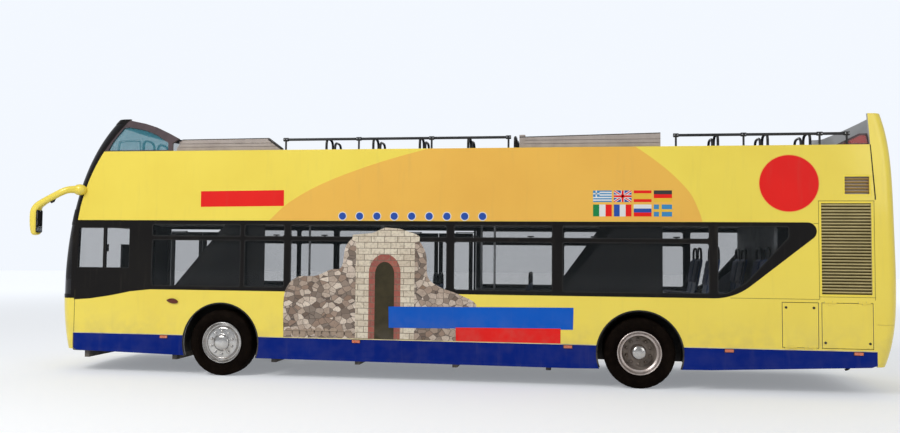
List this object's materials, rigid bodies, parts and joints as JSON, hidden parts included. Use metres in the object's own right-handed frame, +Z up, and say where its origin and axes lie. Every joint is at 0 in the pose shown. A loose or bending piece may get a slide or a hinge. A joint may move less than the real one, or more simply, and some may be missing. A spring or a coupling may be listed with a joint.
{
  "type": "open top double decker bus",
  "caption": "Two-axle open top double deck sightseeing bus with curved full-height front glazing, open upper deck with seats, gliding doors, hinged flaps and steered front wheels.",
  "frame": {"origin": "on the ground, under the middle of the length (mirrors included) and of the width", "axes": "+X forward, +Y to the bus's left, +Z up"},
  "size_m": [12.24, 3.05, 3.77],
  "materials": {
    "black_rail": "satin",
    "black_trim": "gloss",
    "blue_paint": "gloss",
    "dash_plastic": "matte",
    "door_black": "gloss",
    "engine_iron": "matte",
    "floor_board": "matte",
    "frame_steel": "satin",
    "grille_paint": "satin",
    "lamp_amber": "gloss",
    "lamp_clear": "gloss",
    "lamp_red": "gloss",
    "rail_steel": "satin",
    "rim_steel": "satin",
    "seat_plastic": "matte",
    "stair_panel": "matte",
    "tyre": "matte",
    "window_glass": "gloss",
    "wing_brown": "satin",
    "yellow_paint": "gloss"
  },
  "bodies": {
    "bus": {"cab_partition": "dash_plastic", "chassis_frame": "frame_steel", "dashboard": "dash_plastic", "driver_seat": "dash_plastic", "engine_block": "engine_iron", "front_axle": "frame_steel", "front_bumper": "yellow_paint", "front_panel": "yellow_paint", "grab_poles": "rail_steel", "handrails": "black_rail", "headlamps": "lamp_clear", "louvres": "grille_paint", "lower_floor": "floor_board", "lower_seats": "seat_plastic", "marker_lamps": "lamp_amber", "mirrors": "yellow_paint", "rear_axle": "frame_steel", "rear_bumper": "yellow_paint", "rear_wall": "yellow_paint", "side_panels": "yellow_paint", "side_windows": "window_glass", "skirts": "blue_paint", "stairs": "stair_panel", "stairwell_boxes": "stair_panel", "tail_lamps": "lamp_red", "upper_floor": "floor_board", "upper_panels": "yellow_paint", "upper_seats": "seat_plastic", "wheelhouses": "floor_board", "window_frames": "black_trim", "windscreen_frame": "black_trim", "windscreens": "window_glass", "wing_frames": "wing_brown", "wing_windows": "window_glass", "wipers": "black_trim"},
    "steering_left": {"knuckle_left": "frame_steel"},
    "steering_right": {"knuckle_right": "frame_steel"},
    "wheel_front_left": {"front_tyre_left": "tyre", "front_rim_left": "rim_steel"},
    "wheel_front_right": {"front_tyre_right": "tyre", "front_rim_right": "rim_steel"},
    "wheels_rear_left": {"rear_tyres_left": "tyre", "rear_rims_left": "rim_steel"},
    "wheels_rear_right": {"rear_tyres_right": "tyre", "rear_rims_right": "rim_steel"},
    "engine_cover": {"engine_lid": "yellow_paint"},
    "fuel_cover": {"fuel_flap": "yellow_paint"},
    "filter_cover": {"filter_flap": "yellow_paint"},
    "front_door_arms_a": {"front_door_arms_a": "black_rail"},
    "front_door_leaf_a": {"front_door_leaf_a": "door_black"},
    "front_door_arms_b": {"front_door_arms_b": "black_rail"},
    "front_door_leaf_b": {"front_door_leaf_b": "door_black"},
    "mid_door_arms_a": {"mid_door_arms_a": "black_rail"},
    "mid_door_leaf_a": {"mid_door_leaf_a": "door_black"},
    "mid_door_arms_b": {"mid_door_arms_b": "black_rail"},
    "mid_door_leaf_b": {"mid_door_leaf_b": "door_black"}
  },
  "joints": [
    {"name": "steer_left", "type": "hinge", "parent": "bus", "child": "steering_left", "pos_m": [3.18, 0.94, 0.478], "axis": [0, 0, 1], "range_deg": [-38, 38]},
    {"name": "roll_front_left", "type": "hinge", "parent": "steering_left", "child": "wheel_front_left", "pos_m": [3.18, 1.112, 0.478], "axis": [0, 1, 0], "continuous": true},
    {"name": "steer_right", "type": "hinge", "parent": "bus", "child": "steering_right", "pos_m": [3.18, -0.94, 0.478], "axis": [0, 0, 1], "range_deg": [-38, 38]},
    {"name": "roll_front_right", "type": "hinge", "parent": "steering_right", "child": "wheel_front_right", "pos_m": [3.18, -1.112, 0.478], "axis": [0, 1, 0], "continuous": true},
    {"name": "roll_rear_left", "type": "hinge", "parent": "bus", "child": "wheels_rear_left", "pos_m": [-2.78, 1.106, 0.478], "axis": [0, 1, 0], "continuous": true},
    {"name": "roll_rear_right", "type": "hinge", "parent": "bus", "child": "wheels_rear_right", "pos_m": [-2.78, -1.106, 0.478], "axis": [0, 1, 0], "continuous": true},
    {"name": "front_door_post_a", "type": "hinge", "parent": "bus", "child": "front_door_arms_a", "pos_m": [5.274, -1.241, 1.2], "axis": [0, 0, -1], "range_deg": [0, 84]},
    {"name": "front_door_pivot_a", "type": "hinge", "parent": "front_door_arms_a", "child": "front_door_leaf_a", "pos_m": [4.965, -1.241, 1.2], "axis": [0, 0, -1], "range_deg": [-168, 0]},
    {"name": "front_door_post_b", "type": "hinge", "parent": "bus", "child": "front_door_arms_b", "pos_m": [4.026, -1.241, 1.2], "axis": [0, 0, 1], "range_deg": [0, 84]},
    {"name": "front_door_pivot_b", "type": "hinge", "parent": "front_door_arms_b", "child": "front_door_leaf_b", "pos_m": [4.335, -1.241, 1.2], "axis": [0, 0, 1], "range_deg": [-168, 0]},
    {"name": "mid_door_post_a", "type": "hinge", "parent": "bus", "child": "mid_door_arms_a", "pos_m": [1.004, -1.241, 1.2], "axis": [0, 0, -1], "range_deg": [0, 84]},
    {"name": "mid_door_pivot_a", "type": "hinge", "parent": "mid_door_arms_a", "child": "mid_door_leaf_a", "pos_m": [0.695, -1.241, 1.2], "axis": [0, 0, -1], "range_deg": [-168, 0]},
    {"name": "mid_door_post_b", "type": "hinge", "parent": "bus", "child": "mid_door_arms_b", "pos_m": [-0.244, -1.241, 1.2], "axis": [0, 0, 1], "range_deg": [0, 84]},
    {"name": "mid_door_pivot_b", "type": "hinge", "parent": "mid_door_arms_b", "child": "mid_door_leaf_b", "pos_m": [0.065, -1.241, 1.2], "axis": [0, 0, 1], "range_deg": [-168, 0]},
    {"name": "engine_lid_hinge", "type": "hinge", "parent": "bus", "child": "engine_cover", "pos_m": [-6.112, 0, 1.556], "axis": [0, 1, 0], "range_deg": [0, 80]},
    {"name": "fuel_flap_hinge", "type": "hinge", "parent": "bus", "child": "fuel_cover", "pos_m": [-4.844, 1.281, 0.61], "axis": [-1, 0, 0], "range_deg": [0, 80]},
    {"name": "filter_flap_hinge", "type": "hinge", "parent": "bus", "child": "filter_cover", "pos_m": [-5.43, 1.281, 1.202], "axis": [1, 0, 0], "range_deg": [0, 80]}
  ],
  "couplings": [
    {"joint": "steer_right", "follows": "steer_left", "ratio": 1},
    {"joint": "front_door_pivot_a", "follows": "front_door_post_a", "ratio": -2},
    {"joint": "front_door_post_b", "follows": "front_door_post_a", "ratio": 1},
    {"joint": "front_door_pivot_b", "follows": "front_door_post_a", "ratio": -2},
    {"joint": "mid_door_pivot_a", "follows": "mid_door_post_a", "ratio": -2},
    {"joint": "mid_door_post_b", "follows": "mid_door_post_a", "ratio": 1},
    {"joint": "mid_door_pivot_b", "follows": "mid_door_post_a", "ratio": -2}
  ]
}
